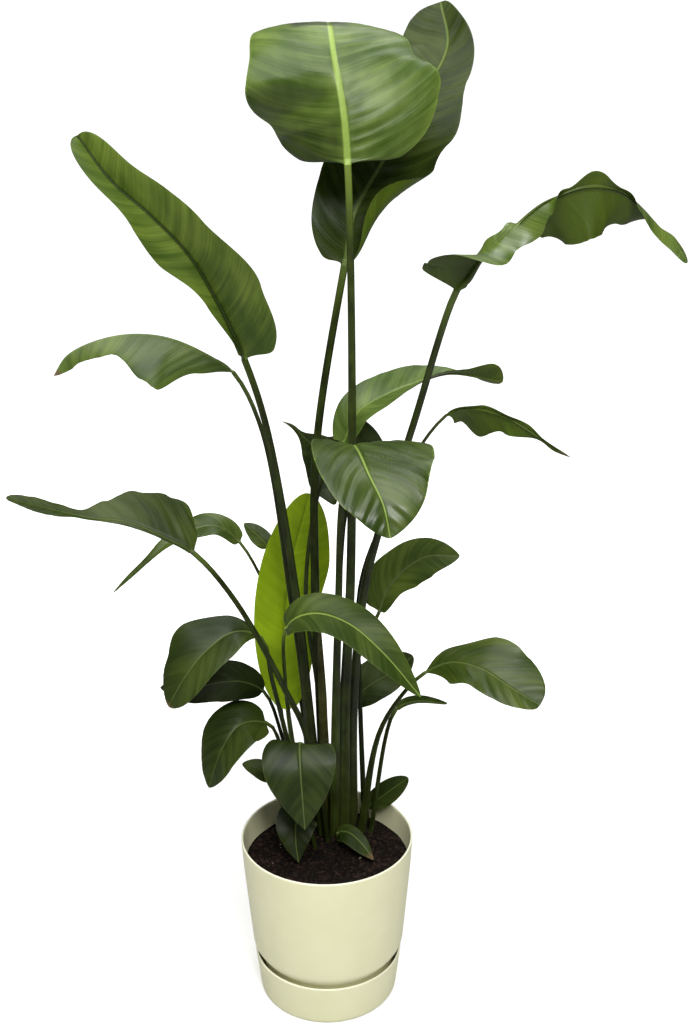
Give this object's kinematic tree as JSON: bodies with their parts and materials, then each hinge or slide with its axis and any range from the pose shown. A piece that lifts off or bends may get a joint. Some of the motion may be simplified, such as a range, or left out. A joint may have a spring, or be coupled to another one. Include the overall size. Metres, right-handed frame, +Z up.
{
  "type": "potted bird of paradise",
  "caption": "Young white bird of paradise plant with long-stalked paddle leaves, growing in a round cream plastic pot that stands in a deep matching saucer",
  "frame": {"origin": "the centre of the saucer's flat underside, on the axis of the pot", "axes": "+Z up along the pot's axis, the picture looks along +Y, +X to its right"},
  "size_m": [0.8466, 0.4137, 1.3948],
  "materials": {
    "cream_plastic": "satin moulded plastic, pale yellow-cream",
    "potting_soil": "damp dark brown potting mix with bark crumbs and a few pale grains",
    "leaf_green": "leathery glossy green leaf with a paler midrib and fine side veins",
    "leaf_lime": "young yellow-green leaf",
    "sheath_brown": "dry papery brown leaf sheath"
  },
  "bodies": {
    "root": {"saucer": "cream_plastic", "pot": "cream_plastic", "soil": "potting_soil", "leaf_top_front": "leaf_green", "leaf_top_back": "leaf_green", "leaf_left_high": "leaf_green", "leaf_right_high": "leaf_green", "leaf_left_middle": "leaf_green", "leaf_back_right": "leaf_green", "leaf_right_thin": "leaf_green", "leaf_centre_front": "leaf_green", "leaf_centre_dark": "leaf_green", "leaf_young_upright": "leaf_lime", "leaf_left_far": "leaf_green", "leaf_left_back": "leaf_green", "leaf_left_small": "leaf_green", "leaf_left_low": "leaf_green", "leaf_left_low_back": "leaf_green", "leaf_left_drop": "leaf_green", "leaf_lower_front": "leaf_green", "leaf_lower_left": "leaf_green", "leaf_soil_left": "leaf_green", "leaf_soil_right": "leaf_green", "leaf_right_small": "leaf_green", "leaf_front_arch": "leaf_green", "leaf_right_mid": "leaf_green", "leaf_right_low": "leaf_green", "leaf_right_low_back": "leaf_green", "leaf_right_spear": "leaf_green", "sheath_dry": "sheath_brown"}
  },
  "joints": []
}
